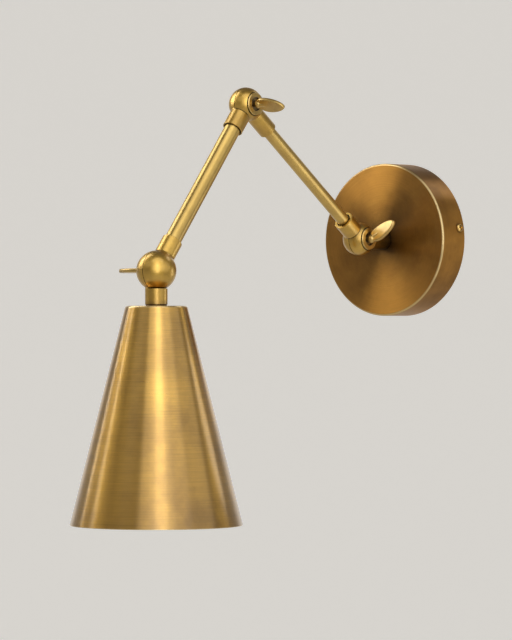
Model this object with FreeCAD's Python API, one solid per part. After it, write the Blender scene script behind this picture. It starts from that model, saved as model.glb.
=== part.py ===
"""Swing arm wall lamp: a wall cup, two tubes on three ball joints, and a cone shade.

Millimetres. The origin is the centre of the cup's back on the wall, +Z is up, the
wall is the plane y = 0 and the lamp stands out of it along -Y. The arms lie in the
plane x = 0, and the three joints turn about axes parallel to X.
"""
import FreeCAD
import Part
import math
import os

from collections import namedtuple
from FreeCAD import Vector

# Wall cup
CANOPY_D = 121.0
CANOPY_DEPTH = 27.5
CANOPY_SHEET = 1.5
CANOPY_EDGE_R = 1.6
SIDE_SCREW_TURN = 8.4
SIDE_SCREW_OUT = 6.5

# Strap on the wall under the cup
STRAP_THICK = 2.0
STRAP_WIDTH = 16.0
CROSS_WIDTH = 26.0
CROSS_LENGTH = 88.0
TAB_DEPTH = 13.0
TAB_GAP = 0.3
WALL_HOLE_PCD = 60.0
WALL_HOLE_D = 4.5
CABLE_HOLE_D = 14.0

# Terminal block on the strap
BLOCK_POLES = 3
BLOCK_PITCH = 8.0
BLOCK_DEPTH = 17.0
BLOCK_HEIGHT = 14.0
BLOCK_UP = 31.0
BLOCK_WIRE_D = 3.4
BLOCK_WIRE_HEIGHT = 5.5
CLAMP_SCREW_D = 3.2
CLAMP_SCREW_LENGTH = 3.0
CLAMP_SCREW_SPREAD = 9.0
CLAMP_WELL = 4.6
EARTH_DOWN = 32.0

# Screws, with a cross slot in each round head
SIDE_SCREW_D = 3.5
SIDE_SCREW_HEAD_D = 6.6
SIDE_SCREW_HEAD = 2.3
SIDE_SCREW_LENGTH = 8.0
EARTH_SCREW_D = 4.0
EARTH_SCREW_HEAD_D = 7.6
EARTH_SCREW_HEAD = 2.6
BLOCK_SCREW_D = 2.6
BLOCK_SCREW_HEAD_D = 4.6
BLOCK_SCREW_HEAD = 1.8
HEAD_ROUND = 1.1
SLOT_WIDTH = 0.9
SLOT_DEPTH = 1.0
SLOT_MARGIN = 0.9

# Arms, pivot to pivot, with their slopes above the horizontal at rest
LOWER_ARM = 169.0
LOWER_SLOPE = 36.4
UPPER_ARM = 162.5
UPPER_SLOPE = -51.7
LOWER_TUBE_D = 10.0
UPPER_TUBE_D = 12.7
TUBE_WALL = 1.0

# Ball joints, each split at its middle by a friction washer
BALL_D = 26.0
SHADE_BALL_D = 30.0
SEAM = 0.5
BALL_GAP = 0.7
RIM_LAND = 4.2
WASHER_INSET = 0.4
HUB_R = 4.6
CHAMBER_DEPTH = 3.0
WIRE_WAY_D = 5.6

# Collars, each with its length past the ball
POST_R = 7.85
POST_LENGTH = 17.0
HEEL_COLLAR_R = 7.85
HEEL_COLLAR_LENGTH = 11.5
ELBOW_LOWER_COLLAR_R = 7.1
ELBOW_LOWER_COLLAR_LENGTH = 18.5
ELBOW_UPPER_COLLAR_R = 7.9
ELBOW_UPPER_COLLAR_LENGTH = 11.8
SHADE_COLLAR_R = 7.9
SHADE_COLLAR_LENGTH = 13.3
NECK_R = 8.4
NECK_LENGTH = 10.2
CRISP_BLEND = 0.6
SOFT_BLEND = 3.0
SOCKET_FLOOR = 1.2
RECESS_WIDTH = 0.8
RECESS_DEPTH = 3.5
MOUTH_EDGE_R = 0.4

# Wing keys
KEY_SHANK_D = 6.0
KEY_THREAD = 7.5
KEY_SINK = 3.0
SHADE_KEY_SINK = 5.5
BOSS_R = 8.7
BOSS_THICK = 3.6
BOSS_CHAMFER = 0.5
BOSS_CHAMFER_LIMIT = 0.3
BOSS_ROOM = 0.5
BOSS_RIM = 3.4
BOSS_DISH = 1.6
KEY_NECK_R = 2.8
KEY_NECK = 2.2
BEND_R = 3.4
LEAF_LENGTH = 25.0
LEAF_WIDTH = 12.0
LEAF_THICK = 3.2
LEAF_WIDEST = 0.42
LEAF_EDGE_R = 1.2
LEAF_EDGE_LIMIT = 0.4
LEAF_ROOT = 8.0
LEAF_SINK = 1.0
WALL_KEY_TURN = 72.0
WALL_KEY_LEAN = -36.0
ELBOW_KEY_TURN = 127.0
ELBOW_KEY_LEAN = 10.0
SHADE_KEY_TURN = -3.0
SHADE_KEY_LEAN = 0.0
SPRING_WASHER = 0.8
SPRING_WASHER_INSET = 0.3

# Post's thread, nut and washer behind the cup, and the like nut in the shade
THREAD_D = 10.0
THREAD_BORE_D = 6.4
POST_NUT_AF = 17.0
POST_NUT_THICK = 5.0
POST_WASHER_D = 19.0
POST_WASHER_THICK = 0.8
THREAD_SPARE = 2.0

# Shade
SHADE_TOP_D = 46.0
SHADE_MOUTH_D = 128.4
SHADE_HEIGHT = 162.6
SHADE_SHEET = 1.2
SHADE_TOP_R = 2.0
NECK_WASHER_THICK = 0.8
NECK_WASHER_INSET = 0.6
SHADE_NUT_AF = 14.0
SHADE_NUT_THICK = 3.5
NIPPLE_GRIP = 8.0

# Lamp holder and bulb
HOLDER_D = 27.0
HOLDER_LENGTH = 46.0
HOLDER_SHOULDER_R = 4.0
HOLDER_GRIP = 7.0
HOLDER_BORE_DEPTH = 28.0
SLEEVE_BORE_D = 14.2
SLEEVE_WALL = 0.5
SLEEVE_LENGTH = 17.0
SLEEVE_LIP = 2.0
CONTACT_D = 8.0
CONTACT_THICK = 1.2
BUTTON_R = 1.8
CAP_D = 13.8
CAP_LENGTH = 26.0
CAP_TIP = 3.0
CAP_TIP_D = 7.0
GLOBE_D = 45.0
GLOBE_WALL = 0.8
GLOBE_NECK_D = 11.0
GLOBE_BLEND = 9.0
GLOBE_NECK_LENGTH = 14.0
GLOBE_SINK = 8.0

# Clearances on the radius
THREAD_FIT = 0.03
PRESS_FIT = 0.02
KEY_ROOM = 0.1
SCREW_ROOM = 0.25

X_AXIS = Vector(1, 0, 0)
Y_AXIS = Vector(0, 1, 0)
Z_AXIS = Vector(0, 0, 1)
ORIGIN = Vector(0, 0, 0)
NEAR = 1
FAR = -1
SAME = 1e-6

Screw = namedtuple("Screw", "thread_d head_d head aside")
SIDE_SCREW = Screw(SIDE_SCREW_D, SIDE_SCREW_HEAD_D, SIDE_SCREW_HEAD, 0.0)
EARTH_SCREW = Screw(EARTH_SCREW_D, EARTH_SCREW_HEAD_D, EARTH_SCREW_HEAD, 0.0)
BLOCK_SCREW = Screw(BLOCK_SCREW_D, BLOCK_SCREW_HEAD_D, BLOCK_SCREW_HEAD, BLOCK_PITCH / 2)

Collar = namedtuple("Collar", "radius past_ball")
POST_COLLAR = Collar(POST_R, POST_LENGTH)
HEEL_COLLAR = Collar(HEEL_COLLAR_R, HEEL_COLLAR_LENGTH)
ELBOW_LOWER_COLLAR = Collar(ELBOW_LOWER_COLLAR_R, ELBOW_LOWER_COLLAR_LENGTH)
ELBOW_UPPER_COLLAR = Collar(ELBOW_UPPER_COLLAR_R, ELBOW_UPPER_COLLAR_LENGTH)
SHADE_COLLAR = Collar(SHADE_COLLAR_R, SHADE_COLLAR_LENGTH)
NECK = Collar(NECK_R, NECK_LENGTH)

BALL_R = BALL_D / 2
SHADE_BALL_R = SHADE_BALL_D / 2
QUARTER_TURN = 90.0
HALF_TURN = 180.0
UP_SLOPE = QUARTER_TURN
TO_WALL_SLOPE = HALF_TURN
DOWN_SLOPE = -QUARTER_TURN

Key = namedtuple("Key", "ball_r sink side turn lean")
WALL_KEY = Key(BALL_R, KEY_SINK, NEAR, WALL_KEY_TURN, WALL_KEY_LEAN)
ELBOW_KEY = Key(BALL_R, KEY_SINK, NEAR, ELBOW_KEY_TURN, ELBOW_KEY_LEAN)
SHADE_KEY = Key(SHADE_BALL_R, SHADE_KEY_SINK, FAR, SHADE_KEY_TURN, SHADE_KEY_LEAN)


def along(slope):
    """Unit vector in the plane of the arms, at an angle above the outward horizontal."""
    angle = math.radians(slope)
    return Vector(0, -math.cos(angle), math.sin(angle))


WALL_JOINT = along(0) * (CANOPY_DEPTH + POST_LENGTH + BALL_R)
ELBOW = WALL_JOINT + along(LOWER_SLOPE) * LOWER_ARM
SHADE_JOINT = ELBOW + along(UPPER_SLOPE) * UPPER_ARM
SHADE_TOP = SHADE_JOINT + along(DOWN_SLOPE) * (SHADE_BALL_R + NECK_LENGTH + NECK_WASHER_THICK)


def stand(shape, pivot, slope):
    """Turn a shape built along +Z to a slope in the plane of the arms and set it on a pivot."""
    placed = shape.copy()
    placed.rotate(ORIGIN, X_AXIS, UP_SLOPE - slope)
    placed.translate(pivot)
    return placed


def on_wall(shape, turn=0.0):
    """Set a shape built along +Z on the wall, turned about the cup's axis."""
    placed = shape.copy()
    placed.rotate(ORIGIN, Z_AXIS, turn)
    return stand(placed, ORIGIN, 0.0)


def rod(radius, start, end, axis=Z_AXIS):
    """Cylinder on an axis through the origin, from one distance to another."""
    low = min(start, end)
    return Part.makeCylinder(radius, abs(end - start), axis * low, axis)


def ring(outer, inner, start, end, axis=Z_AXIS):
    """Flat ring on an axis through the origin."""
    return rod(outer, start, end, axis).cut(rod(inner, start, end, axis))


def block(size_x, size_y, low, high, centre_x=0.0, centre_y=0.0):
    """Box centred on a point of the XY plane, from one height to another."""
    corner = Vector(centre_x - size_x / 2, centre_y - size_y / 2, low)
    return Part.makeBox(size_x, size_y, high - low, corner)


def hexagon(across_flats, low, high):
    """Six-sided prism about Z."""
    corner = across_flats / math.sqrt(3)
    points = [Vector(corner, 0, low)]
    for step in range(1, 7):
        angle = math.radians(60 * step)
        points.append(Vector(corner * math.cos(angle), corner * math.sin(angle), low))
    return Part.Face(Part.makePolygon(points)).extrude(Z_AXIS * (high - low))


def edges_at(shape, height):
    """Round edges of a turned shape that lie at one height."""
    boxes = [(edge, edge.BoundBox) for edge in shape.Edges]
    return [edge for edge, box in boxes if max(abs(box.ZMin - height), abs(box.ZMax - height)) < SAME]


def turned(edges):
    """Solid turned about Z from a closed outline in the XZ half plane."""
    face = Part.Face(Part.Wire([edge.toShape() for edge in edges]))
    return Part.makeSolid(face.revolve(ORIGIN, Z_AXIS, 360).Shells[0])


def line(start, end):
    """Straight stretch of an outline."""
    return Part.LineSegment(start, end)


def arc_about(centre, start, end):
    """Arc of an outline about a centre, on the shorter side between two points."""
    radius = (start - centre).Length
    middle = (start - centre) + (end - centre)
    middle.normalize()
    return Part.Arc(start, centre + middle * radius, end)


def ball_and_stem(ball_r, stem_r, length, blend):
    """Ball at the origin that flows into a round stem along +Z through a hollow curve."""
    reach = ball_r + blend
    height = math.sqrt(reach ** 2 - (stem_r + blend) ** 2)
    hollow = Vector(stem_r + blend, 0, height)
    on_ball = hollow * (ball_r / reach)
    on_stem = Vector(stem_r, 0, height)
    pole = Vector(0, 0, -ball_r)
    side = Vector(ball_r, 0, 0)
    return turned([
        arc_about(ORIGIN, pole, side),
        arc_about(ORIGIN, side, on_ball),
        arc_about(hollow, on_ball, on_stem),
        line(on_stem, Vector(stem_r, 0, length)),
        line(Vector(stem_r, 0, length), Vector(0, 0, length)),
        line(Vector(0, 0, length), pole),
    ])


def half_space(side, size):
    """Box that holds everything past the seam on one side."""
    start = SEAM / 2 if side == NEAR else -SEAM / 2 - size
    return Part.makeBox(size, 2 * size, 2 * size, Vector(start, -size, -size))


def chamber_r(ball_r):
    """Radius of the wire chamber round a joint's hub."""
    return ball_r - RIM_LAND


def knuckle(ball_r, collar, blend, side):
    """Half of a ball joint with its collar along +Z, hollowed to let the other half turn."""
    length = ball_r + collar.past_ball
    own_half = ball_and_stem(ball_r, collar.radius, length, blend).common(half_space(side, 2 * length))
    full_collar = rod(collar.radius, 0, length).cut(Part.makeSphere(ball_r + BALL_GAP))
    solid = own_half.fuse(full_collar).removeSplitter()
    solid = solid.makeFillet(MOUTH_EDGE_R, edges_at(solid, length))
    seam = side * SEAM / 2
    chamber = ring(chamber_r(ball_r), HUB_R, seam, seam + side * CHAMBER_DEPTH, X_AXIS)
    return solid.cut(chamber)


def seat_at(key):
    """Distance from the seam's middle to the floor that a wing key's washer lies on."""
    rim = math.sqrt(key.ball_r ** 2 - (BOSS_R + BOSS_ROOM) ** 2)
    return rim - key.sink


def key_pocket(key):
    """Hole for a key's shank and the pocket for its boss."""
    seat = key.side * seat_at(key)
    hole = rod(KEY_SHANK_D / 2 + KEY_ROOM, 0, seat, X_AXIS)
    return hole.fuse(rod(BOSS_R + BOSS_ROOM, seat, key.side * key.ball_r, X_AXIS))


def key_thread(side):
    """Threaded hole for the end of a key's shank."""
    depth = SEAM / 2 + KEY_THREAD + THREAD_SPARE
    return rod(KEY_SHANK_D / 2 + THREAD_FIT, 0, side * depth, X_AXIS)


def wire_way(ball_r, end):
    """Hole for the wires from the chamber round the hub out to the end of a collar."""
    return rod(WIRE_WAY_D / 2, (HUB_R + chamber_r(ball_r)) / 2, end)


def socket_floor(ball_r):
    """Distance from a pivot to the end of the tube in its collar."""
    return ball_r + BALL_GAP + SOCKET_FLOOR


def tube_socket(ball_r, collar, tube_d):
    """Socket for a tube's end, its wider mouth, and the way for the wires."""
    mouth = ball_r + collar.past_ball
    floor = socket_floor(ball_r)
    socket = rod(tube_d / 2 + PRESS_FIT, floor, mouth)
    recess = rod(tube_d / 2 + RECESS_WIDTH, mouth - RECESS_DEPTH, mouth)
    return socket.fuse([recess, wire_way(ball_r, floor)])


def arm_knuckle(ball_r, collar, tube_d, blend, side, key_cut):
    """Knuckle with a tube socket and its part of the key's hole."""
    solid = knuckle(ball_r, collar, blend, side)
    return solid.cut([tube_socket(ball_r, collar, tube_d), key_cut])


def arm_tube(diameter, length, start_ball_r, end_ball_r):
    """Straight tube along +Z between the sockets of two knuckles."""
    radius = diameter / 2
    return ring(radius, radius - TUBE_WALL, socket_floor(start_ball_r), length - socket_floor(end_ball_r))


def friction_washer(ball_r):
    """Ring between the two halves of a ball joint."""
    return ring(ball_r - WASHER_INSET, chamber_r(ball_r), -SEAM / 2, SEAM / 2, X_AXIS)


def spring_washer(key):
    """Ring under a wing key's boss."""
    seat = key.side * seat_at(key)
    outer = BOSS_R - SPRING_WASHER_INSET
    return ring(outer, KEY_SHANK_D / 2 + SCREW_ROOM, seat, seat + key.side * SPRING_WASHER, X_AXIS)


def leaf():
    """Egg-shaped plate along +Z that the fingers turn, with softened edges."""
    half = LEAF_WIDTH / 2
    widest = LEAF_LENGTH * LEAF_WIDEST
    back = -LEAF_THICK / 2
    outline = Part.BSplineCurve()
    outline.interpolate(
        Points=[
            Vector(0, back, 0),
            Vector(half, back, widest),
            Vector(0, back, LEAF_LENGTH),
            Vector(-half, back, widest),
        ],
        PeriodicFlag=True,
    )
    plate = Part.Face(Part.Wire([outline.toShape()])).extrude(Y_AXIS * LEAF_THICK)
    rims = [edge for edge in plate.Edges if edge.BoundBox.YLength < LEAF_THICK / 2]
    return plate.makeFillet(min(LEAF_EDGE_R, LEAF_EDGE_LIMIT * LEAF_THICK), rims)


def key_boss():
    """Round boss of a wing key along +Z, with a dish round the stem of the leaf."""
    solid = rod(BOSS_R, 0, BOSS_THICK)
    chamfer = min(BOSS_CHAMFER, BOSS_CHAMFER_LIMIT * BOSS_THICK)
    solid = solid.makeChamfer(chamfer, edges_at(solid, BOSS_THICK))
    return solid.cut(rod(BOSS_R - BOSS_RIM, BOSS_THICK - BOSS_DISH, BOSS_THICK))


def wing_key(key):
    """Screw with a dished boss and a leaf, seated on its spring washer in a ball's pocket."""
    seat = seat_at(key) + SPRING_WASHER
    shank_end = -seat - SEAM / 2 - KEY_THREAD
    root = BOSS_THICK + KEY_NECK
    bend = Z_AXIS * root
    taper = Part.makeCone(KEY_NECK_R, LEAF_THICK / 2, LEAF_ROOT, bend)
    plate = leaf()
    plate.translate(Z_AXIS * (root - LEAF_SINK))
    for piece in (taper, plate):
        piece.rotate(bend, Y_AXIS, key.lean)
    shank = rod(KEY_SHANK_D / 2, shank_end, 0)
    stem = shank.fuse([key_boss(), rod(KEY_NECK_R, 0, root), Part.makeSphere(BEND_R, bend), taper])
    solid = stem.fuse(plate).removeSplitter()
    solid.translate(Z_AXIS * seat)
    solid.rotate(ORIGIN, Y_AXIS, key.side * QUARTER_TURN)
    solid.rotate(ORIGIN, X_AXIS, key.turn - QUARTER_TURN)
    return solid


def wall_post():
    """Near half of the wall joint on its stem, with the thread that goes through the cup."""
    solid = knuckle(BALL_R, POST_COLLAR, CRISP_BLEND, NEAR)
    face = BALL_R + POST_LENGTH
    inside = face + CANOPY_SHEET + POST_WASHER_THICK + POST_NUT_THICK + THREAD_SPARE
    solid = solid.fuse(rod(THREAD_D / 2, face - THREAD_SPARE, inside)).removeSplitter()
    solid = solid.cut([wire_way(BALL_R, inside), key_pocket(WALL_KEY)])
    return stand(solid, WALL_JOINT, TO_WALL_SLOPE)


def canopy():
    """Round cup against the wall, open at its back."""
    radius = CANOPY_D / 2
    shell = rod(radius, 0, CANOPY_DEPTH)
    shell = shell.makeFillet(CANOPY_EDGE_R, edges_at(shell, CANOPY_DEPTH))
    shell = shell.cut(rod(radius - CANOPY_SHEET, 0, CANOPY_DEPTH - CANOPY_SHEET))
    holes = [rod(THREAD_D / 2 + KEY_ROOM, 0, CANOPY_DEPTH)]
    for side in (NEAR, FAR):
        hole = rod(SIDE_SCREW_D / 2 + SCREW_ROOM, side * radius / 2, side * radius, X_AXIS)
        hole.translate(Z_AXIS * SIDE_SCREW_OUT)
        hole.rotate(ORIGIN, Z_AXIS, SIDE_SCREW_TURN)
        holes.append(hole)
    return on_wall(shell.cut(holes))


def strap_reach():
    """Distance from the cup's axis to the outer face of the strap's tabs."""
    inner = CANOPY_D / 2 - CANOPY_SHEET - TAB_GAP
    return math.sqrt(inner ** 2 - (STRAP_WIDTH / 2) ** 2)


def wall_bracket():
    """Cross-shaped strap on the wall, with a tapped tab at each end of its long bar."""
    reach = strap_reach()
    solid = block(2 * reach, STRAP_WIDTH, 0, STRAP_THICK)
    solid = solid.fuse(block(CROSS_WIDTH, CROSS_LENGTH, 0, STRAP_THICK))
    holes = [rod(CABLE_HOLE_D / 2, 0, STRAP_THICK)]
    for side in (NEAR, FAR):
        tab = block(STRAP_THICK, STRAP_WIDTH, 0, TAB_DEPTH, side * (reach - STRAP_THICK / 2))
        solid = solid.fuse(tab)
        wall_hole = rod(WALL_HOLE_D / 2, 0, STRAP_THICK)
        wall_hole.translate(X_AXIS * side * WALL_HOLE_PCD / 2)
        tap = rod(SIDE_SCREW_D / 2 + THREAD_FIT, side * reach / 2, side * CANOPY_D / 2, X_AXIS)
        tap.translate(Z_AXIS * SIDE_SCREW_OUT)
        holes += [wall_hole, tap]
    for screw, height in ((EARTH_SCREW, -EARTH_DOWN), (BLOCK_SCREW, BLOCK_UP)):
        tap = rod(screw.thread_d / 2 + THREAD_FIT, 0, STRAP_THICK)
        tap.translate(Vector(screw.aside, height, 0))
        holes.append(tap)
    return on_wall(solid.removeSplitter().cut(holes), SIDE_SCREW_TURN)


def pan_screw(screw, length):
    """Cross-slotted screw along +Z, with its head's seat at the origin and its shank below."""
    head = rod(screw.head_d / 2, 0, screw.head)
    head = head.makeFillet(HEAD_ROUND, edges_at(head, screw.head))
    slot_length = screw.head_d - 2 * SLOT_MARGIN
    slot = block(SLOT_WIDTH, slot_length, screw.head - SLOT_DEPTH, screw.head)
    cross = block(slot_length, SLOT_WIDTH, screw.head - SLOT_DEPTH, screw.head)
    return head.fuse(rod(screw.thread_d / 2, -length, 0)).removeSplitter().cut([slot, cross])


def canopy_screws():
    """The two screws that hold the cup on the strap's tabs."""
    screws = []
    for side in (NEAR, FAR):
        screw = pan_screw(SIDE_SCREW, SIDE_SCREW_LENGTH)
        screw.rotate(ORIGIN, Y_AXIS, side * QUARTER_TURN)
        screw.translate(X_AXIS * side * CANOPY_D / 2 + Z_AXIS * SIDE_SCREW_OUT)
        screws.append(on_wall(screw, SIDE_SCREW_TURN))
    return Part.makeCompound(screws)


def earth_screw():
    """Screw for the earth wire on the lower end of the strap."""
    screw = pan_screw(EARTH_SCREW, STRAP_THICK)
    screw.translate(Z_AXIS * STRAP_THICK - Y_AXIS * EARTH_DOWN)
    return on_wall(screw, SIDE_SCREW_TURN)


def block_screw():
    """Screw that holds the terminal block on the strap."""
    screw = pan_screw(BLOCK_SCREW, STRAP_THICK + BLOCK_HEIGHT)
    screw.translate(Vector(BLOCK_SCREW.aside, BLOCK_UP, STRAP_THICK + BLOCK_HEIGHT))
    return on_wall(screw, SIDE_SCREW_TURN)


def pole_places():
    """Sideways places of the terminal block's poles."""
    return [(pole - (BLOCK_POLES - 1) / 2) * BLOCK_PITCH for pole in range(BLOCK_POLES)]


def clamp_places():
    """Places of the clamp screws, two on each pole."""
    ends = (-CLAMP_SCREW_SPREAD / 2, CLAMP_SCREW_SPREAD / 2)
    return [Vector(aside, BLOCK_UP + end, 0) for aside in pole_places() for end in ends]


def terminal_block():
    """Insulating block with a wire hole through each pole and wells for the clamp screws."""
    top = STRAP_THICK + BLOCK_HEIGHT
    solid = block(BLOCK_POLES * BLOCK_PITCH, BLOCK_DEPTH, STRAP_THICK, top, 0, BLOCK_UP)
    way = rod(BLOCK_SCREW_D / 2 + SCREW_ROOM, 0, top)
    way.translate(Vector(BLOCK_SCREW.aside, BLOCK_UP, 0))
    holes = [way]
    for aside in pole_places():
        wire = rod(BLOCK_WIRE_D / 2, BLOCK_UP - BLOCK_DEPTH, BLOCK_UP + BLOCK_DEPTH, Y_AXIS)
        wire.translate(Vector(aside, 0, STRAP_THICK + BLOCK_WIRE_HEIGHT))
        holes.append(wire)
    for place in clamp_places():
        well = rod(CLAMP_SCREW_D / 2 + SCREW_ROOM, top - CLAMP_WELL, top)
        well.translate(place)
        holes.append(well)
    return on_wall(solid.cut(holes), SIDE_SCREW_TURN)


def terminal_screws():
    """Slotted clamp screws on the floors of their wells."""
    floor = STRAP_THICK + BLOCK_HEIGHT - CLAMP_WELL
    screws = []
    for place in clamp_places():
        screw = rod(CLAMP_SCREW_D / 2, floor, floor + CLAMP_SCREW_LENGTH)
        slot_floor = floor + CLAMP_SCREW_LENGTH - SLOT_DEPTH
        screw = screw.cut(block(SLOT_WIDTH, CLAMP_SCREW_D, slot_floor, floor + CLAMP_SCREW_LENGTH))
        screw.translate(place)
        screws.append(on_wall(screw, SIDE_SCREW_TURN))
    return Part.makeCompound(screws)


def post_washer():
    """Washer between the cup's inside and the post's nut."""
    top = CANOPY_DEPTH - CANOPY_SHEET
    return on_wall(ring(POST_WASHER_D / 2, THREAD_D / 2 + THREAD_FIT, top - POST_WASHER_THICK, top))


def post_nut():
    """Hex nut that holds the post in the cup."""
    top = CANOPY_DEPTH - CANOPY_SHEET - POST_WASHER_THICK
    nut = hexagon(POST_NUT_AF, top - POST_NUT_THICK, top)
    return on_wall(nut.cut(rod(THREAD_D / 2 + THREAD_FIT, 0, top)))


def lower_arm_heel():
    """Far half of the wall joint with the collar of the thin tube."""
    solid = arm_knuckle(BALL_R, HEEL_COLLAR, LOWER_TUBE_D, CRISP_BLEND, FAR, key_thread(FAR))
    return stand(solid, WALL_JOINT, LOWER_SLOPE)


def lower_arm_tube():
    """Thin tube from the wall joint to the elbow."""
    return stand(arm_tube(LOWER_TUBE_D, LOWER_ARM, BALL_R, BALL_R), WALL_JOINT, LOWER_SLOPE)


def elbow_near():
    """Near half of the elbow with the collar of the thin tube."""
    pocket = key_pocket(ELBOW_KEY)
    solid = arm_knuckle(BALL_R, ELBOW_LOWER_COLLAR, LOWER_TUBE_D, SOFT_BLEND, NEAR, pocket)
    return stand(solid, ELBOW, LOWER_SLOPE + HALF_TURN)


def elbow_far():
    """Far half of the elbow with the collar of the thick tube."""
    solid = arm_knuckle(BALL_R, ELBOW_UPPER_COLLAR, UPPER_TUBE_D, CRISP_BLEND, FAR, key_thread(FAR))
    return stand(solid, ELBOW, UPPER_SLOPE)


def upper_arm_tube():
    """Thick tube from the elbow to the shade joint."""
    return stand(arm_tube(UPPER_TUBE_D, UPPER_ARM, BALL_R, SHADE_BALL_R), ELBOW, UPPER_SLOPE)


def shade_knuckle():
    """Near half of the shade joint, a closed dome with the collar of the thick tube."""
    thread = key_thread(NEAR)
    solid = arm_knuckle(SHADE_BALL_R, SHADE_COLLAR, UPPER_TUBE_D, SOFT_BLEND, NEAR, thread)
    return stand(solid, SHADE_JOINT, UPPER_SLOPE + HALF_TURN)


def shade_neck():
    """Far half of the shade joint with the neck that the shade hangs on."""
    solid = knuckle(SHADE_BALL_R, NECK, CRISP_BLEND, FAR)
    end = SHADE_BALL_R + NECK_LENGTH
    thread = rod(THREAD_D / 2 + THREAD_FIT, end - NIPPLE_GRIP, end)
    solid = solid.cut([thread, wire_way(SHADE_BALL_R, end), key_pocket(SHADE_KEY)])
    return stand(solid, SHADE_JOINT, DOWN_SLOPE)


def in_shade(shape):
    """Set a shape built along +Z, from the shade's top down, in the shade."""
    return stand(shape, SHADE_TOP, DOWN_SLOPE)


def neck_washer():
    """Fibre washer between the neck and the shade."""
    outer = NECK_R - NECK_WASHER_INSET
    return in_shade(ring(outer, THREAD_D / 2 + KEY_ROOM, -NECK_WASHER_THICK, 0))


def shade():
    """Cone of thin sheet with a flat top, open below."""
    top_r = SHADE_TOP_D / 2
    mouth_r = SHADE_MOUTH_D / 2
    flare = (mouth_r - top_r) / SHADE_HEIGHT
    sheet_across = SHADE_SHEET * math.sqrt(1 + flare ** 2)
    shell = Part.makeCone(top_r, mouth_r, SHADE_HEIGHT)
    shell = shell.makeFillet(SHADE_TOP_R, edges_at(shell, 0))
    inner_top = top_r + flare * SHADE_SHEET - sheet_across
    inner = Part.makeCone(inner_top, mouth_r - sheet_across, SHADE_HEIGHT - SHADE_SHEET, Z_AXIS * SHADE_SHEET)
    inner = inner.makeFillet(SHADE_TOP_R, edges_at(inner, SHADE_SHEET))
    hole = rod(THREAD_D / 2 + KEY_ROOM, 0, SHADE_SHEET)
    return in_shade(shell.cut([inner, hole]))


def holder_top():
    """Distance from the shade's top down to the lamp holder."""
    return SHADE_SHEET + SHADE_NUT_THICK


def nipple():
    """Threaded tube from the neck through the shade's top into the lamp holder."""
    start = -NECK_WASHER_THICK - NIPPLE_GRIP
    return in_shade(ring(THREAD_D / 2, THREAD_BORE_D / 2, start, holder_top() + HOLDER_GRIP))


def shade_nut():
    """Hex nut under the shade's top."""
    nut = hexagon(SHADE_NUT_AF, SHADE_SHEET, holder_top())
    return in_shade(nut.cut(rod(THREAD_D / 2 + THREAD_FIT, 0, holder_top())))


def sleeve_r():
    """Outer radius of the holder's threaded sleeve."""
    return SLEEVE_BORE_D / 2 + SLEEVE_WALL


def bore_floor():
    """Distance from the shade's top down to the floor of the holder's bore."""
    return holder_top() + HOLDER_LENGTH - HOLDER_BORE_DEPTH


def lampholder_body():
    """Moulded body of the lamp holder, threaded on the nipple and open below."""
    end = holder_top() + HOLDER_LENGTH
    solid = rod(HOLDER_D / 2, holder_top(), end)
    solid = solid.makeFillet(HOLDER_SHOULDER_R, edges_at(solid, holder_top()))
    bore = rod(sleeve_r() + PRESS_FIT, bore_floor(), end)
    thread = rod(THREAD_D / 2 + THREAD_FIT, holder_top(), holder_top() + HOLDER_GRIP)
    way = rod(THREAD_BORE_D / 2, holder_top(), bore_floor() - CONTACT_THICK)
    seat = rod(CONTACT_D / 2 + PRESS_FIT, bore_floor() - CONTACT_THICK, bore_floor())
    return in_shade(solid.cut([bore, thread, way, seat]))


def lampholder_sleeve():
    """Threaded sleeve that takes the bulb's cap."""
    end = holder_top() + HOLDER_LENGTH - SLEEVE_LIP
    return in_shade(ring(sleeve_r(), SLEEVE_BORE_D / 2, end - SLEEVE_LENGTH, end))


def lampholder_contact():
    """Centre contact in the floor of the holder's bore."""
    plate = rod(CONTACT_D / 2, bore_floor() - CONTACT_THICK, bore_floor())
    button = Part.makeSphere(BUTTON_R, Z_AXIS * bore_floor())
    return in_shade(plate.fuse(button.cut(rod(CONTACT_D, 0, bore_floor()))).removeSplitter())


def cap_start():
    """Distance from the shade's top down to the tip of the bulb's cap."""
    return bore_floor() + BUTTON_R


def bulb_cap():
    """Screw cap of the bulb, a cup round the globe's neck with a tapered tip."""
    start = cap_start()
    shoulder = start + CAP_TIP
    end = start + CAP_LENGTH
    tip = Part.makeCone(CAP_TIP_D / 2, CAP_D / 2, CAP_TIP, Z_AXIS * start)
    cup = ring(CAP_D / 2, GLOBE_NECK_D / 2 + PRESS_FIT, end - GLOBE_SINK, end)
    return in_shade(tip.fuse([rod(CAP_D / 2, shoulder, end - GLOBE_SINK), cup]).removeSplitter())


def bulb_globe():
    """Round glass of the bulb, hollow, with its neck in the cap."""
    radius = GLOBE_D / 2
    length = radius + GLOBE_NECK_LENGTH
    outer = ball_and_stem(radius, GLOBE_NECK_D / 2, length, GLOBE_BLEND)
    inner_blend = GLOBE_BLEND + GLOBE_WALL
    inner = ball_and_stem(radius - GLOBE_WALL, GLOBE_NECK_D / 2 - GLOBE_WALL, length, inner_blend)
    centre = cap_start() + CAP_LENGTH - GLOBE_SINK + length
    return stand(outer.cut(inner), SHADE_TOP + along(DOWN_SLOPE) * centre, UP_SLOPE)


def joint_nodes(name, pivot, key):
    """Key, spring washer and friction washer of one ball joint."""
    pieces = {
        name + "_wing_key": wing_key(key),
        name + "_spring_washer": spring_washer(key),
        name + "_friction_washer": friction_washer(key.ball_r),
    }
    for piece in pieces.values():
        piece.translate(pivot)
    return pieces


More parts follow.
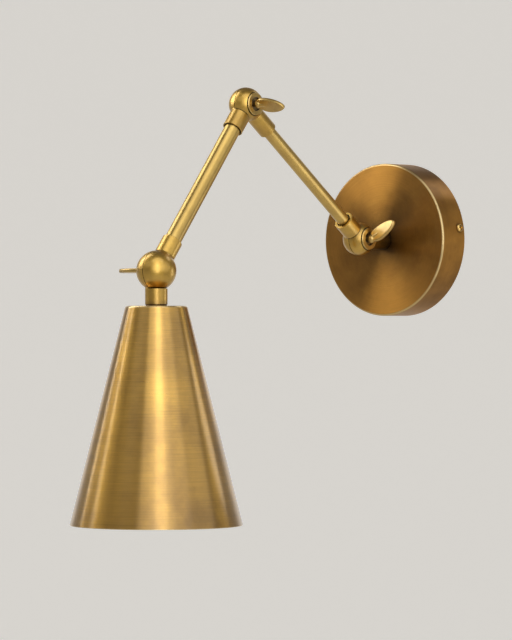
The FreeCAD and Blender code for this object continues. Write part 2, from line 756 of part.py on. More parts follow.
def build():
    """All nodes of the lamp by name."""
    makers = [
        wall_bracket, canopy, canopy_screws, wall_post, post_washer, post_nut, terminal_block,
        terminal_screws, block_screw, earth_screw, lower_arm_heel, lower_arm_tube, elbow_near,
        elbow_far, upper_arm_tube, shade_knuckle, shade_neck, neck_washer, shade, nipple, shade_nut,
        lampholder_body, lampholder_sleeve, lampholder_contact, bulb_cap, bulb_globe,
    ]
    nodes = {maker.__name__: maker() for maker in makers}
    nodes.update(joint_nodes("wall", WALL_JOINT, WALL_KEY))
    nodes.update(joint_nodes("elbow", ELBOW, ELBOW_KEY))
    nodes.update(joint_nodes("shade", SHADE_JOINT, SHADE_KEY))
    return nodes


if __name__ == "__main__":
    os.makedirs("parts", exist_ok=True)
    for node, shape in build().items():
        shape.exportStep(f"parts/{node}.step")
        print(f"{node}: {len(shape.Solids)} solid, {shape.Volume:.1f} mm3, valid {shape.isValid()}")
    for label, point in (("wall", WALL_JOINT), ("elbow", ELBOW), ("shade", SHADE_JOINT)):
        print(f"{label} joint at {point.x:.3f} {point.y:.3f} {point.z:.3f} mm")
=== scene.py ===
"""Looks of a swing arm wall lamp in aged brass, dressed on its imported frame.

The frame is in metres, +Z up. The wall is the plane y = 0, the lamp stands out of it along -Y, and
its joints turn about axes parallel to X. The lamp's own sizes are in millimetres, the studio's in
metres, and turns and slopes in degrees.
"""

import logging
import math
from dataclasses import dataclass, field, replace
from enum import Enum
from typing import Sequence

import bpy
import numpy as np
from mathutils import Matrix, Vector


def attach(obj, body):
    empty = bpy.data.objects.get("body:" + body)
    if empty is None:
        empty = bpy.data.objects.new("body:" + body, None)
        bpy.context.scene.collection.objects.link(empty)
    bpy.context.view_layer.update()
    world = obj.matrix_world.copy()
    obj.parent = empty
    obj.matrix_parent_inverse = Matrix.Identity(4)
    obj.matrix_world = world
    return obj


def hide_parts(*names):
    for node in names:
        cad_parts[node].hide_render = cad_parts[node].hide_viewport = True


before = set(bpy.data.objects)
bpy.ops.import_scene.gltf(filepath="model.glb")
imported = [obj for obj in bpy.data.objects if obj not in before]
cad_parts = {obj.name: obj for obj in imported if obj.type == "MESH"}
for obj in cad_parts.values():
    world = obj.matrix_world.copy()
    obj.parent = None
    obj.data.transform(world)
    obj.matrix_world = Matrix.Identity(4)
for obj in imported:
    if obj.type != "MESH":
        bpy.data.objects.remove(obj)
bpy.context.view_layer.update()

MM = 0.001
PHOTO_TURN = math.radians(41.0)
DOWN = Vector((0, 0, -1))
OUT = Vector((0, -1, 0))
TO_WALL = Vector((0, 1, 0))
FAR_SIDE = Vector((-1, 0, 0))
log = logging.getLogger("wall_lamp")

Tree = bpy.types.NodeTree
Socket = bpy.types.NodeSocket


def linear(hex_code: str) -> tuple[float, float, float, float]:
    """Turn an sRGB hex colour to linear light.

    Args:
        hex_code: Colour such as "#C8A050".

    Returns:
        Red, green, blue and an alpha of one.
    """
    # The numbers are those of the sRGB standard.
    parts = [int(hex_code[i:i + 2], 16) / 255 for i in (1, 3, 5)]
    red, green, blue = [c / 12.92 if c <= 0.04045 else ((c + 0.055) / 1.055) ** 2.4 for c in parts]
    return red, green, blue, 1.0


def add_node(tree: Tree, kind: str, inputs: dict | None = None, **settings: object) -> bpy.types.Node:
    """Add a node with its settings, constants and incoming links.

    Args:
        tree: Tree that takes the node.
        kind: Node type, such as ShaderNodeTexNoise.
        inputs: Name or index of an input, with the output that feeds it or a constant.
        settings: Attributes of the node itself.

    Returns:
        The new node.
    """
    node = tree.nodes.new(kind)
    for name, value in settings.items():
        setattr(node, name, value)
    for key, value in (inputs or {}).items():
        if isinstance(key, str):
            socket = next(s for s in node.inputs if s.name == key and s.enabled)
        else:
            socket = node.inputs[key]
        if isinstance(value, Socket):
            tree.links.new(value, socket)
        else:
            socket.default_value = value
    return node


def start_material(name: str) -> tuple[bpy.types.Material, Tree]:
    """Start a node material.

    Args:
        name: What the real material is.

    Returns:
        The material and its empty tree.
    """
    material = bpy.data.materials.new(name)
    material.use_nodes = True
    material.node_tree.nodes.clear()
    return material, material.node_tree


def end_material(tree: Tree, inputs: dict) -> None:
    """Finish a material with its principled shader.

    Args:
        tree: Material's tree.
        inputs: Constants and outputs for the shader's inputs, by name.
    """
    shader = add_node(tree, "ShaderNodeBsdfPrincipled", inputs)
    add_node(tree, "ShaderNodeOutputMaterial", {"Surface": shader.outputs["BSDF"]})


class Grain(Enum):
    """Direction of the fine lines that the last polish leaves on brass."""

    AROUND = "around"
    NONE = "none"


# Colour output of the Mix node, whose outputs share one name.
MIXED = 2
# Dark brown where nearby parts close in: painted shade mixed with grime.
GRIME_AND_SHADE = "#2E1E0C"
# Pale bare metal on rounded corners, and how much of it shows: partly wear, partly painted highlight.
RUBBED_AND_HIGHLIGHT = "#F5DFA4"
RUBBED_AND_HIGHLIGHT_SHARE = 0.7
# A polish line runs about an eighth of the way round its piece.
LINES_PER_TURN = 8.0
# Distances along the shade's outline between which its colour grows darker towards the mouth.
DRIFT_FROM = 80.0 * MM
DRIFT_TO = 190.0 * MM
# Levels of the noise between which tarnish, streaks and roughness go from none to full.
CLOUD_RANGE = {"From Min": 0.35, "From Max": 0.7}
STREAK_RANGE = {"From Min": 0.25, "From Max": 0.75}
ROUGH_RANGE = {"From Min": 0.2, "From Max": 0.8}
# Roughness that full tarnish adds.
TARNISH_DULLS = 0.10
# Strength of the polish lines' bump.
LINE_RELIEF = 0.35
LACQUER_ROUGHNESS = 0.2
# Higher than a real lacquer's 1.5, so that it mirrors the soft boxes as pale as the real lamp does.
LACQUER_IOR = 1.7
# The shader counts the grain's direction in turns: a quarter lays it across the map's tangent.
QUARTER_TURN = 0.25


@dataclass(frozen=True)
class BrassFinish:
    """Aged brass under clear lacquer: warm gold that clouds to brown, with fine polish lines.

    The lines stretch each reflection across them and tarnish gathers in soft clouds. Where nearby parts
    close in, painted shade mixed with grime darkens the colour, and rounded corners are painted paler,
    partly as wear and partly as a painted highlight.
    """

    name: str
    bright: str
    tarnish: str
    roughness: float
    grain_mm: float
    cloud_mm: float
    cloud: float
    bump_mm: float
    streak: float
    lacquer: float
    grain: Grain = Grain.NONE
    anisotropy: float = 0.0
    drift: float = 0.0
    grime_and_shade_mm: float = 5.0
    grime_and_shade_range: tuple[float, float] = (0.25, 0.8)

    def polish_lines(self, tree: Tree) -> Socket:
        """Build the fine relief of the last polish.

        Args:
            tree: Material's tree.

        Returns:
            Its height.
        """
        lines = 1.0 / (self.grain_mm * MM)
        if self.grain is Grain.AROUND:
            surface = add_node(tree, "ShaderNodeUVMap", uv_map="UVMap").outputs[0]
            scale = (LINES_PER_TURN, lines, 1.0)
        else:
            surface = add_node(tree, "ShaderNodeTexCoord").outputs["Object"]
            scale = (lines, lines, lines)
        spread = add_node(tree, "ShaderNodeMapping", {"Vector": surface, "Scale": scale}).outputs[0]
        return add_node(
            tree, "ShaderNodeTexNoise", {"Vector": spread, "Scale": 1.0, "Detail": 3.0, "Roughness": 0.7},
        ).outputs[0]

    def tarnish_share(self, tree: Tree) -> Socket:
        """Build the clouds of tarnish and, where the finish drifts, a darkening that grows towards the
        shade's mouth.

        Args:
            tree: Material's tree.

        Returns:
            Share of the darker colour, from none to one.
        """
        place = add_node(tree, "ShaderNodeTexCoord").outputs["Object"]
        noise = add_node(
            tree, "ShaderNodeTexNoise",
            {"Vector": place, "Scale": 1.0 / (self.cloud_mm * MM), "Detail": 5.0, "Roughness": 0.6},
        ).outputs[0]
        clouds = add_node(
            tree, "ShaderNodeMapRange", {"Value": noise, "To Max": self.cloud, **CLOUD_RANGE},
            interpolation_type="SMOOTHSTEP",
        ).outputs[0]
        if not self.drift:
            return clouds
        surface = add_node(tree, "ShaderNodeUVMap", uv_map="UVMap").outputs[0]
        run = add_node(tree, "ShaderNodeSeparateXYZ", {"Vector": surface}).outputs["Y"]
        # Darker towards the mouth, and fully dark over the inside.
        darker_down = add_node(
            tree, "ShaderNodeMapRange",
            {"Value": run, "From Min": DRIFT_FROM, "From Max": DRIFT_TO, "To Max": self.drift},
        ).outputs[0]
        return add_node(
            tree, "ShaderNodeMath", {0: clouds, 1: darker_down}, operation="ADD", use_clamp=True,
        ).outputs[0]

    def colour(self, tree: Tree, tarnish: Socket, lines: Socket) -> Socket:
        """Build the colour of the brass with its wear, painted rim highlights and painted shade mixed with
        grime.

        Args:
            tree: Material's tree.
            tarnish: Share of tarnish.
            lines: Height of the polish lines.

        Returns:
            The colour.
        """
        aged = add_node(
            tree, "ShaderNodeMix",
            {"Factor": tarnish, "A": linear(self.bright), "B": linear(self.tarnish)}, data_type="RGBA",
        ).outputs[MIXED]
        streak = add_node(
            tree, "ShaderNodeMapRange",
            {"Value": lines, "To Min": 1.0 - self.streak, "To Max": 1.0 + self.streak, **STREAK_RANGE},
        ).outputs[0]
        streaked = add_node(
            tree, "ShaderNodeMix", {"Factor": 1.0, "A": aged, "B": streak},
            data_type="RGBA", blend_type="MULTIPLY",
        ).outputs[MIXED]
        # Rounded corners are painted paler: partly wear, partly a painted highlight line.
        edge = add_node(tree, "ShaderNodeAttribute", attribute_name="edge").outputs["Fac"]
        worn_and_highlit = add_node(
            tree, "ShaderNodeMath", {0: edge, 1: RUBBED_AND_HIGHLIGHT_SHARE}, operation="MULTIPLY",
        ).outputs[0]
        bared_and_highlit = add_node(
            tree, "ShaderNodeMix", {"Factor": worn_and_highlit, "A": streaked, "B": linear(RUBBED_AND_HIGHLIGHT)}, data_type="RGBA",
        ).outputs[MIXED]
        # Occlusion darkens the colour where nearby parts close in: painted shade mixed with grime.
        reach = add_node(
            tree, "ShaderNodeAmbientOcclusion", {"Distance": self.grime_and_shade_mm * MM}, samples=6,
        ).outputs["AO"]
        shaded_and_grimy, clear = self.grime_and_shade_range
        unshaded_and_clean = add_node(
            tree, "ShaderNodeMapRange", {"Value": reach, "From Min": shaded_and_grimy, "From Max": clear},
        ).outputs[0]
        return add_node(
            tree, "ShaderNodeMix", {"Factor": unshaded_and_clean, "A": linear(GRIME_AND_SHADE), "B": bared_and_highlit}, data_type="RGBA",
        ).outputs[MIXED]

    def dullness(self, tree: Tree, tarnish: Socket, lines: Socket) -> Socket:
        """Build the roughness, which follows the polish and rises with tarnish.

        Args:
            tree: Material's tree.
            tarnish: Share of tarnish.
            lines: Height of the polish lines.

        Returns:
            The roughness.
        """
        smooth = self.roughness * (1.0 - self.streak)
        coarse = self.roughness * (1.0 + self.streak)
        polished = add_node(
            tree, "ShaderNodeMapRange",
            {"Value": lines, "To Min": smooth, "To Max": coarse, **ROUGH_RANGE},
        ).outputs[0]
        return add_node(
            tree, "ShaderNodeMath", {0: tarnish, 1: TARNISH_DULLS, 2: polished}, operation="MULTIPLY_ADD",
        ).outputs[0]

    def material(self) -> bpy.types.Material:
        """Build the finish as a node material.

        Returns:
            The material.
        """
        material, tree = start_material(self.name)
        lines = self.polish_lines(tree)
        tarnish = self.tarnish_share(tree)
        relief = add_node(
            tree, "ShaderNodeBump",
            {"Strength": LINE_RELIEF, "Distance": self.bump_mm * MM, "Height": lines},
        ).outputs[0]
        inputs = {
            "Base Color": self.colour(tree, tarnish, lines),
            "Roughness": self.dullness(tree, tarnish, lines),
            "Normal": relief,
            "Metallic": 1.0,
            "Coat Weight": self.lacquer,
            "Coat Roughness": LACQUER_ROUGHNESS,
            "Coat IOR": LACQUER_IOR,
        }
        if self.grain is Grain.AROUND:
            around = add_node(tree, "ShaderNodeTangent", direction_type="UV_MAP", uv_map="UVMap")
            inputs["Tangent"] = around.outputs[0]
            inputs["Anisotropic"] = self.anisotropy
            inputs["Anisotropic Rotation"] = QUARTER_TURN
        end_material(tree, inputs)
        return material


# Levels of the noise between which the shade goes over to the fleck.
SPECK_RANGE = {"From Min": 0.3, "From Max": 0.7}
# Share by which the roughness swings, the bump's strength, and how deep light scatters.
SPECK_ROUGHNESS = 0.2
SPECK_RELIEF = 0.4
SCATTER = 4 * MM


@dataclass(frozen=True)
class PlainFinish:
    """Material of a lesser piece: two close shades in soft specks, with a grain that breaks the gloss."""

    name: str
    shade: str
    fleck: str
    roughness: float
    speck_mm: float
    bump_mm: float
    metallic: float = 0.0
    coat: float = 0.0
    subsurface: float = 0.0

    def material(self) -> bpy.types.Material:
        """Build the finish as a node material.

        Returns:
            The material.
        """
        material, tree = start_material(self.name)
        place = add_node(tree, "ShaderNodeTexCoord").outputs["Object"]
        specks = add_node(
            tree, "ShaderNodeTexNoise",
            {"Vector": place, "Scale": 1.0 / (self.speck_mm * MM), "Detail": 4.0, "Roughness": 0.6},
        ).outputs[0]
        share = add_node(tree, "ShaderNodeMapRange", {"Value": specks, **SPECK_RANGE}).outputs[0]
        colour = add_node(
            tree, "ShaderNodeMix", {"Factor": share, "A": linear(self.shade), "B": linear(self.fleck)},
            data_type="RGBA",
        ).outputs[MIXED]
        smooth = self.roughness * (1.0 - SPECK_ROUGHNESS)
        coarse = self.roughness * (1.0 + SPECK_ROUGHNESS)
        rough = add_node(
            tree, "ShaderNodeMapRange", {"Value": specks, "To Min": smooth, "To Max": coarse},
        ).outputs[0]
        relief = add_node(
            tree, "ShaderNodeBump",
            {"Strength": SPECK_RELIEF, "Distance": self.bump_mm * MM, "Height": specks},
        ).outputs[0]
        end_material(tree, {
            "Base Color": colour,
            "Roughness": rough,
            "Normal": relief,
            "Metallic": self.metallic,
            "Coat Weight": self.coat,
            "Subsurface Weight": self.subsurface,
            "Subsurface Radius": (SCATTER, SCATTER, SCATTER),
        })
        return material


Finish = BrassFinish | PlainFinish

# Real polish lines lie about a tenth of a millimetre apart, too fine to show. On the three turned
# finishes they are drawn about ten times as coarse.

# Sheet spun over a former and mopped round: rings that draw each soft box out to an upright stripe,
# under a full lacquer, browner towards the mouth.
SPUN = BrassFinish(
    name="spun_brass_satin", bright="#DEAC40", tarnish="#8E661E", roughness=0.29, grain_mm=1.1,
    cloud_mm=42.0, cloud=0.46, bump_mm=0.02, streak=0.16, lacquer=1.0, grain=Grain.AROUND,
    anisotropy=0.97, drift=0.35,
)
# Cup brushed on a lathe: rings that fan each soft box out to wedges, brown with age. A long reach of
# painted shade, mixed with grime, darkens it round the joint in front of it, as the joint's shadow would.
CUP = BrassFinish(
    name="lathe_brushed_brass", bright="#B68238", tarnish="#4A2E10", roughness=0.33, grain_mm=1.0,
    cloud_mm=60.0, cloud=0.55, bump_mm=0.015, streak=0.10, lacquer=0.2, grain=Grain.AROUND,
    anisotropy=0.96, grime_and_shade_mm=40.0, grime_and_shade_range=(0.55, 0.98),
)
# Drawn tube, buffed: nearly smooth, so that the soft boxes run along it as clear lines.
DRAWN = BrassFinish(
    name="buffed_brass_tube", bright="#DEBA62", tarnish="#9A7434", roughness=0.33, grain_mm=1.4,
    cloud_mm=40.0, cloud=0.35, bump_mm=0.0005, streak=0.01, lacquer=0.5, grain=Grain.AROUND,
    anisotropy=0.60,
)
# Castings polished by hand: round soft highlights, a slight unevenness, seams darkened by painted shade
# mixed with grime.
CAST = BrassFinish(
    name="polished_cast_brass", bright="#D8AE4A", tarnish="#8E6828", roughness=0.33, grain_mm=6.0,
    cloud_mm=18.0, cloud=0.40, bump_mm=0.004, streak=0.04, lacquer=0.6, grime_and_shade_mm=8.0,
)
# The same casting close in front of the cup, darkened over a long reach by painted shade mixed with grime,
# where the ball and the cup shade it.
POST = replace(CAST, name="painted_shade_cast_brass", grime_and_shade_mm=30.0, grime_and_shade_range=(0.45, 0.95))
# Small castings that were filed and left satin: even, paler and a little grainy.
FETTLED = BrassFinish(
    name="satin_cast_brass", bright="#D6B25E", tarnish="#967034", roughness=0.34, grain_mm=3.0,
    cloud_mm=9.0, cloud=0.40, bump_mm=0.006, streak=0.05, lacquer=0.8,
)
# Zinc plate on steel: cold grey with faint clouds.
ZINC = PlainFinish(
    name="zinc_plated_steel", shade="#B9BCBE", fleck="#A6AAAC", roughness=0.34, speck_mm=5.0,
    bump_mm=0.004, metallic=1.0,
)
# Machined brass that stays bare: pale, clean and glossy.
CONTACT = PlainFinish(
    name="bright_contact_brass", shade="#D9B874", fleck="#C49C50", roughness=0.24, speck_mm=3.0,
    bump_mm=0.01, metallic=1.0,
)
# Moulded nylon in the joints' seams: amber and waxy.
NYLON = PlainFinish(
    name="amber_nylon", shade="#A8803C", fleck="#8C682E", roughness=0.5, speck_mm=2.0, bump_mm=0.02,
)
# Pressed fibre, nearly black so that the washer draws the line under the neck: partly a painted shadow
# line. Matt, its fibres drawn coarser than real so that they show.
FIBRE_AND_SHADOW_LINE = PlainFinish(
    name="vulcanised_fibre_shadow_line", shade="#2E2119", fleck="#1F1611", roughness=0.6, speck_mm=1.0, bump_mm=0.03,
)
# Moulded polyamide: ivory and half matt, with the mould's texture drawn coarser than real.
IVORY = PlainFinish(
    name="moulded_polyamide", shade="#DEDACF", fleck="#D2CDC0", roughness=0.45, speck_mm=1.5, bump_mm=0.02,
)
# Moulded phenolic: brown black, with a mottle of filler under a pressed gloss.
PHENOLIC = PlainFinish(
    name="moulded_phenolic", shade="#1D1A17", fleck="#26211C", roughness=0.32, speck_mm=2.0,
    bump_mm=0.015, coat=0.3,
)
# Opal glass: milky white that takes light in, under a hard gloss.
OPAL = PlainFinish(
    name="opal_glass", shade="#F3F0E8", fleck="#ECE8DD", roughness=0.16, speck_mm=20.0, bump_mm=0.005,
    coat=0.6, subsurface=0.4,
)


class Palette:
    """Materials by finish, each made once."""

    def __init__(self) -> None:
        """Start with no material made."""
        self.made: dict[str, bpy.types.Material] = {}

    def get(self, finish: Finish) -> bpy.types.Material:
        """Give the material of a finish, making it the first time.

        Args:
            finish: Finish that is wanted.

        Returns:
            Its material.
        """
        if finish.name not in self.made:
            self.made[finish.name] = finish.material()
        return self.made[finish.name]


ARC_STEPS = 6
# Width beside a rounding in which its paler paint, part wear and part painted highlight, fades out.
GUARD = 0.4
# Most that a rounding takes of the shorter side, and that its guard takes of the rest.
MOST_ROUNDED = 0.45
MOST_GUARDED = 0.2


@dataclass(frozen=True)
class Corner:
    """Corner of a turned outline, with its rounding and a band beside it that is painted pale as a
    highlight line.
    """

    radius: float
    height: float
    rounding: float = 0.2
    # Band beside the rounding painted pale: a painted highlight line.
    highlight_band: float = 0.0


def outline(corners: Sequence[Corner]) -> tuple[np.ndarray, np.ndarray]:
    """Round the corners of a closed outline and mark where it is painted paler, as wear and as highlight.

    Args:
        corners: Corners in order round the outline.

    Returns:
        Points as radius and height in metres, and at each point the share painted paler as wear and
        highlight.
    """
    points: list[Vector] = []
    rubbed_and_highlit: list[float] = []
    count = len(corners)
    places = [Vector((corner.radius, corner.height)) for corner in corners]
    for index, corner in enumerate(corners):
        here = places[index]
        back = places[index - 1] - here
        ahead = places[(index + 1) % count] - here
        reach = min(back.length, ahead.length)
        back_way = back.normalized()
        ahead_way = ahead.normalized()
        half = back_way.angle(ahead_way) / 2
        trim = min(corner.rounding / math.tan(half), MOST_ROUNDED * reach)
        radius = trim * math.tan(half)
        middle = here + (back_way + ahead_way).normalized() * (radius / math.sin(half))
        first = here + back_way * trim
        last = here + ahead_way * trim
        # A point on each side of the rounding keeps its paler paint, part wear and part painted highlight,
        # from spreading over the faces.
        guard = min(corner.highlight_band or GUARD, MOST_GUARDED * (reach - trim))
        band_highlight = 1.0 if corner.highlight_band else 0.0
        points.append(first + back_way * guard)
        rubbed_and_highlit.append(0.0)
        start = first - middle
        sweep = start.angle_signed(last - middle)
        for step in range(ARC_STEPS + 1):
            turn = Matrix.Rotation(-sweep * step / ARC_STEPS, 2)
            points.append(middle + turn @ start)
            rubbed_and_highlit.append(max(band_highlight, math.sin(math.pi * step / ARC_STEPS)))
        points.append(last + ahead_way * guard)
        rubbed_and_highlit.append(0.0)
    return np.array([point[:] for point in points]) * MM, np.array(rubbed_and_highlit)


def stand_on(point: Vector, axis: Vector, seam: Vector) -> Matrix:
    """Make the placing of a piece built along +Z.

    Args:
        point: Where its origin goes, in metres.
        axis: Direction that its +Z takes.
        seam: Direction that its seam faces, as near as the axis allows.

    Returns:
        The placing.
    """
    up = axis.normalized()
    side = (seam - up * seam.dot(up)).normalized()
    turn = Matrix((side, up.cross(side), up)).transposed().to_4x4()
    return Matrix.Translation(point) @ turn


MERGE_DISTANCE = 1e-6
# Edges that bend more than this are shaded sharp on the screws.
SHARP_BEND = math.radians(35.0)


class NodeTrees:
    """Geometry Nodes trees that make the turned and repeated pieces."""

    def __init__(self) -> None:
        """Build the trees."""
        self.turned = self.turned_tree()
        self.screws = self.screw_tree()

    @staticmethod
    def start(name: str, sockets: Sequence[tuple[str, str]]) -> tuple[Tree, bpy.types.Node]:
        """Start a tree with a geometry input and output and named inputs.

        Args:
            name: Tree's name.
            sockets: Name and socket type of each further input.

        Returns:
            The tree and its input node.
        """
        tree = bpy.data.node_groups.new(name, "GeometryNodeTree")
        tree.interface.new_socket("Geometry", in_out="OUTPUT", socket_type="NodeSocketGeometry")
        tree.interface.new_socket("Geometry", in_out="INPUT", socket_type="NodeSocketGeometry")
        for label, kind in sockets:
            tree.interface.new_socket(label, in_out="INPUT", socket_type=kind)
        return tree, add_node(tree, "NodeGroupInput")

    @staticmethod
    def end(tree: Tree, geometry: Socket, finish: Socket) -> None:
        """Finish a tree with plain geometry in its material.

        Args:
            tree: Tree to finish.
            geometry: What it made.
            finish: Its material input.
        """
        real = add_node(tree, "GeometryNodeRealizeInstances", {0: geometry})
        dressed = add_node(tree, "GeometryNodeSetMaterial", {0: real.outputs[0], "Material": finish})
        add_node(tree, "NodeGroupOutput", {0: dressed.outputs[0]})

    def turned_tree(self) -> Tree:
        """Build the tree that sweeps an outline round a circle and maps turn and run on the surface.

        Returns:
            The tree.
        """
        tree, given = self.start("turned_piece", [
            ("Around", "NodeSocketInt"),
            ("Rail Radius", "NodeSocketFloat"),
            ("Finish", "NodeSocketMaterial"),
        ])
        profile = add_node(tree, "GeometryNodeMeshToCurve", {0: given.outputs["Geometry"]}).outputs[0]
        along = add_node(tree, "GeometryNodeSplineParameter")
        run = add_node(
            tree, "GeometryNodeStoreNamedAttribute",
            {"Geometry": profile, "Name": "run", "Value": along.outputs["Length"]},
        ).outputs[0]
        circle = add_node(
            tree, "GeometryNodeCurvePrimitiveCircle",
            {"Resolution": given.outputs["Around"], "Radius": given.outputs["Rail Radius"]},
        ).outputs[0]
        rail = add_node(
            tree, "GeometryNodeStoreNamedAttribute",
            {"Geometry": circle, "Name": "turn", "Value": along.outputs["Factor"]},
        ).outputs[0]
        swept = add_node(
            tree, "GeometryNodeCurveToMesh", {"Curve": rail, "Profile Curve": run},
        ).outputs[0]
        turn_read, run_read = [
            add_node(tree, "GeometryNodeInputNamedAttribute", {"Name": name}).outputs[0]
            for name in ("turn", "run")
        ]
        pair = add_node(tree, "ShaderNodeCombineXYZ", {"X": turn_read, "Y": run_read}).outputs[0]
        mapped = add_node(
            tree, "GeometryNodeStoreNamedAttribute", {"Geometry": swept, "Name": "UVMap", "Value": pair},
            data_type="FLOAT2", domain="CORNER",
        ).outputs[0]
        closed = add_node(
            tree, "GeometryNodeMergeByDistance", {0: mapped, "Distance": MERGE_DISTANCE},
        ).outputs[0]
        smooth = add_node(tree, "GeometryNodeSetShadeSmooth", {0: closed}).outputs[0]
        self.end(tree, smooth, given.outputs["Finish"])
        return tree

    def screw_tree(self) -> Tree:
        """Build the tree that cuts a cross in a screw's head and sets copies in a ring, heads outwards.

        Returns:
            The tree.
        """
        sizes = ("Ring Radius", "Head", "Slot Length", "Slot Width", "Slot Depth")
        tree, given = self.start("ring_of_screws", [
            ("Copies", "NodeSocketInt"),
            *((label, "NodeSocketFloat") for label in sizes),
            ("Finish", "NodeSocketMaterial"),
        ])
        size = given.outputs
        lift = add_node(tree, "ShaderNodeCombineXYZ", {"Z": size["Head"]}).outputs[0]
        # Half of each blade stands above the head, so that the slot is open.
        deep = add_node(
            tree, "ShaderNodeMath", {0: size["Slot Depth"], 1: 2.0}, operation="MULTIPLY",
        ).outputs[0]
        cut = add_node(
            tree, "GeometryNodeMeshBoolean", {"Mesh 1": size["Geometry"]}, operation="DIFFERENCE",
        )
        for wide, long in (("Slot Length", "Slot Width"), ("Slot Width", "Slot Length")):
            block = add_node(
                tree, "ShaderNodeCombineXYZ", {"X": size[wide], "Y": size[long], "Z": deep},
            ).outputs[0]
            blade = add_node(tree, "GeometryNodeMeshCube", {"Size": block}).outputs[0]
            raised = add_node(
                tree, "GeometryNodeTransform", {"Geometry": blade, "Translation": lift},
            ).outputs[0]
            tree.links.new(raised, cut.inputs["Mesh 2"])
        smooth = add_node(tree, "GeometryNodeSetShadeSmooth", {0: cut.outputs[0]}).outputs[0]
        bend = add_node(tree, "GeometryNodeInputMeshEdgeAngle").outputs[0]
        sharp = add_node(
            tree, "FunctionNodeCompare", {"A": bend, "B": SHARP_BEND}, operation="GREATER_THAN",
        ).outputs[0]
        crisp = add_node(
            tree, "GeometryNodeSetShadeSmooth",
            {0: smooth, "Selection": sharp, "Shade Smooth": False}, domain="EDGE",
        ).outputs[0]
        rail = add_node(
            tree, "GeometryNodeCurvePrimitiveCircle", {"Radius": size["Ring Radius"]},
        ).outputs[0]
        ring = add_node(
            tree, "GeometryNodeCurveToPoints", {0: rail, "Count": size["Copies"]},
        ).outputs[0]
        spot = add_node(tree, "GeometryNodeInputPosition").outputs[0]
        out = add_node(tree, "FunctionNodeAlignRotationToVector", {"Vector": spot}, axis="Z").outputs[0]
        copies = add_node(
            tree, "GeometryNodeInstanceOnPoints", {"Points": ring, "Instance": crisp, "Rotation": out},
        ).outputs[0]
        self.end(tree, copies, size["Finish"])
        return tree

    @staticmethod
    def run(
        tree: Tree, name: str, mesh: bpy.types.Mesh, values: dict[str, object], place: Matrix,
    ) -> bpy.types.Object:
        """Run a tree on a mesh and keep the result as a plain piece.

        Args:
            tree: Tree to run.
            name: Piece's name.
            mesh: Geometry that the tree starts from.
            values: Input values by name.
            place: Placing that goes into the piece's mesh.

        Returns:
            The piece, at the origin, with its place in its mesh.
        """
        source = bpy.data.objects.new(name + "_source", mesh)
        bpy.context.scene.collection.objects.link(source)
        modifier = source.modifiers.new("nodes", "NODES")
        modifier.node_group = tree
        for item in tree.interface.items_tree:
            if item.in_out == "INPUT" and item.name in values:
                modifier[item.identifier] = values[item.name]
        result = source.evaluated_get(bpy.context.evaluated_depsgraph_get())
        made = bpy.data.meshes.new_from_object(result)
        bpy.data.objects.remove(source)
        made.name = name
        made.transform(place)
        piece = bpy.data.objects.new(name, made)
        bpy.context.scene.collection.objects.link(piece)
        return piece


@dataclass
class Workshop:
    """What every sub-assembly builds with."""

    trees: NodeTrees
    palette: Palette

    def turn(
        self, name: str, corners: Sequence[Corner], finish: Finish, place: Matrix, around: int,
    ) -> bpy.types.Object:
        """Turn a closed outline round an axis.

        Args:
            name: Piece's name.
            corners: Corners of the outline.
            finish: Its finish.
            place: Placing of its axis.
            around: Steps round the axis.

        Returns:
            The piece.
        """
        points, rubbed_and_highlit = outline(corners)
        rail = float(points[:, 0].max())
        count = len(points)
        mesh = bpy.data.meshes.new(name + "_outline")
        mesh.from_pydata(
            [(radius - rail, -height, 0.0) for radius, height in points],
            [(index, (index + 1) % count) for index in range(count)], [],
        )
        mesh.attributes.new("edge", "FLOAT", "POINT").data.foreach_set("value", rubbed_and_highlit.astype(np.float32))
        values = {"Around": around, "Rail Radius": rail, "Finish": self.palette.get(finish)}
        return self.trees.run(self.trees.turned, name, mesh, values, place)

    @staticmethod
    def lathe(name: str, rings: Sequence[tuple[float, float]], around: int) -> bpy.types.Mesh:
        """Turn a solid along +Z.

        Args:
            name: Mesh's name.
            rings: Radius and height from the top down, with a pole of no radius at each end.
            around: Steps round the axis.

        Returns:
            A closed mesh in metres.
        """
        (_, top), *middle, (_, foot) = rings
        points = [(0.0, 0.0, top * MM)]
        for radius, height in middle:
            for step in range(around):
                angle = 2 * math.pi * step / around
                points.append((radius * MM * math.cos(angle), radius * MM * math.sin(angle), height * MM))
        points.append((0.0, 0.0, foot * MM))
        faces = []
        last = 1 + (len(middle) - 1) * around
        for step in range(around):
            after = (step + 1) % around
            faces.append((0, 1 + step, 1 + after))
            faces.append((len(points) - 1, last + after, last + step))
            for low in range(1, last, around):
                high = low + around
                faces.append((low + step, high + step, high + after, low + after))
        mesh = bpy.data.meshes.new(name)
        mesh.from_pydata(points, [], faces)
        return mesh

    def dress(self, nodes: Sequence[str], finish: Finish) -> None:
        """Give carried-over nodes their finish.

        Args:
            nodes: Nodes that keep their shape.
            finish: Their finish.
        """
        for name in nodes:
            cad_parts[name].material_slots[0].material = self.palette.get(finish)
            log.info("dressed %s in %s", name, finish.name)

    @staticmethod
    def seat(piece: bpy.types.Object, body: str, *nodes: str) -> None:
        """Make a brass piece ride on a body in place of the nodes that it stands for.

        Args:
            piece: Finished piece.
            body: Body that carries it.
            nodes: Nodes that it replaces.
        """
        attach(piece, body)
        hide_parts(*nodes)
        faces = len(piece.data.polygons)
        log.info("built %s on %s for %s, %d faces", piece.name, body, ", ".join(nodes), faces)


